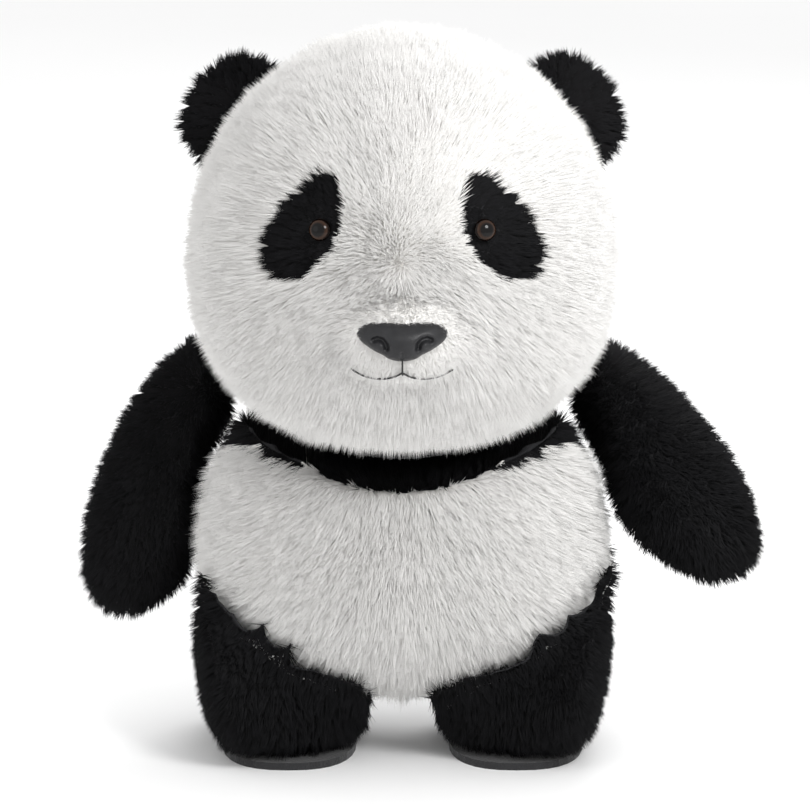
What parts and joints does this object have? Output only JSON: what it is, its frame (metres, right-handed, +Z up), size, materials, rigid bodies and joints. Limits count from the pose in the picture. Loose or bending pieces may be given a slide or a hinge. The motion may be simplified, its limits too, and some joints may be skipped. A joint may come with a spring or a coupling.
{
  "type": "plush panda",
  "caption": "Stuffed toy panda that stands on its soles, with sewn white and black panels, a head that turns and nods, and arms, legs and ears that flop.",
  "frame": {"origin": "on the floor, below the middle of the whole outline", "axes": "+Z up, -Y the way the toy faces, +X toward the toy's own left"},
  "size_m": [0.2761, 0.1875, 0.2959],
  "materials": {
    "white_plush": "long soft pile",
    "black_plush": "short soft pile",
    "sole_cloth": "brushed, flat",
    "fibre_filling": "loose fibre",
    "lining_cloth": "plain woven",
    "eye_plastic": "polished",
    "nose_leather": "satin with a fine grain",
    "washer_plastic": "moulded",
    "black_thread": "twisted",
    "white_thread": "twisted"
  },
  "bodies": {
    "torso": {"torso_stuffing": "fibre_filling", "belly_panel": "white_plush", "chest_yoke": "black_plush", "upper_back_panel": "black_plush", "lower_back_panel": "white_plush", "seat_panel": "white_plush", "tail_cover": "white_plush", "tail_stuffing": "fibre_filling", "closing_seam": "white_thread"},
    "neck": {"neck_facing": "lining_cloth"},
    "head": {"head_stuffing": "fibre_filling", "forehead_gusset": "white_plush", "chin_panel": "white_plush", "muzzle_pad": "white_plush", "nose": "nose_leather", "nose_washer": "washer_plastic", "mouth_stitching": "black_thread", "face_right": "white_plush", "head_back_right": "white_plush", "eye_patch_right": "black_plush", "eye_right": "eye_plastic", "eye_washer_right": "washer_plastic", "face_left": "white_plush", "head_back_left": "white_plush", "eye_patch_left": "black_plush", "eye_left": "eye_plastic", "eye_washer_left": "washer_plastic"},
    "ear_right": {"ear_front_right": "black_plush", "ear_back_right": "black_plush"},
    "shoulder_right": {"armhole_facing_right": "lining_cloth"},
    "arm_right": {"arm_outer_right": "black_plush", "arm_inner_right": "black_plush", "arm_stuffing_right": "fibre_filling"},
    "leg_right": {"leg_front_right": "black_plush", "leg_back_right": "black_plush", "leg_stuffing_right": "fibre_filling", "sole_right": "sole_cloth"},
    "ear_left": {"ear_front_left": "black_plush", "ear_back_left": "black_plush"},
    "shoulder_left": {"armhole_facing_left": "lining_cloth"},
    "arm_left": {"arm_outer_left": "black_plush", "arm_inner_left": "black_plush", "arm_stuffing_left": "fibre_filling"},
    "leg_left": {"leg_front_left": "black_plush", "leg_back_left": "black_plush", "leg_stuffing_left": "fibre_filling", "sole_left": "sole_cloth"}
  },
  "joints": [
    {"name": "head_nod", "type": "hinge", "parent": "torso", "child": "neck", "pos_m": [-0.0065, 0.0045, 0.212], "axis": [1, 0, 0], "range_deg": [-7, 7]},
    {"name": "head_turn", "type": "hinge", "parent": "neck", "child": "head", "pos_m": [-0.0065, 0.0045, 0.212], "axis": [0, 0, 1], "range_deg": [-60, 60]},
    {"name": "ear_bend_right", "type": "hinge", "parent": "head", "child": "ear_right", "pos_m": [-0.07235, 0.04444, 0.25312], "axis": [0.6133, 0, 0.7899], "range_deg": [-18, 18], "stiffness_Nm_per_rad": 0.01},
    {"name": "arm_lift_right", "type": "hinge", "parent": "torso", "child": "shoulder_right", "pos_m": [-0.0855, 0.0445, 0.136], "axis": [0, 1, 0], "range_deg": [-2, 25]},
    {"name": "arm_swing_right", "type": "hinge", "parent": "shoulder_right", "child": "arm_right", "pos_m": [-0.0855, 0.0445, 0.136], "axis": [1, 0, 0], "range_deg": [-50, 30]},
    {"name": "leg_swing_right", "type": "hinge", "parent": "torso", "child": "leg_right", "pos_m": [-0.0065, 0.0225, 0.072], "axis": [1, 0, 0], "range_deg": [-12, 10]},
    {"name": "ear_bend_left", "type": "hinge", "parent": "head", "child": "ear_left", "pos_m": [0.05935, 0.04444, 0.25312], "axis": [0.6133, 0, -0.7899], "range_deg": [-18, 18], "stiffness_Nm_per_rad": 0.01},
    {"name": "arm_lift_left", "type": "hinge", "parent": "torso", "child": "shoulder_left", "pos_m": [0.0725, 0.0445, 0.136], "axis": [0, -1, 0], "range_deg": [-4, 20]},
    {"name": "arm_swing_left", "type": "hinge", "parent": "shoulder_left", "child": "arm_left", "pos_m": [0.0725, 0.0445, 0.136], "axis": [1, 0, 0], "range_deg": [-40, 30]},
    {"name": "leg_swing_left", "type": "hinge", "parent": "torso", "child": "leg_left", "pos_m": [-0.0065, 0.0225, 0.072], "axis": [1, 0, 0], "range_deg": [-12, 10]}
  ]
}
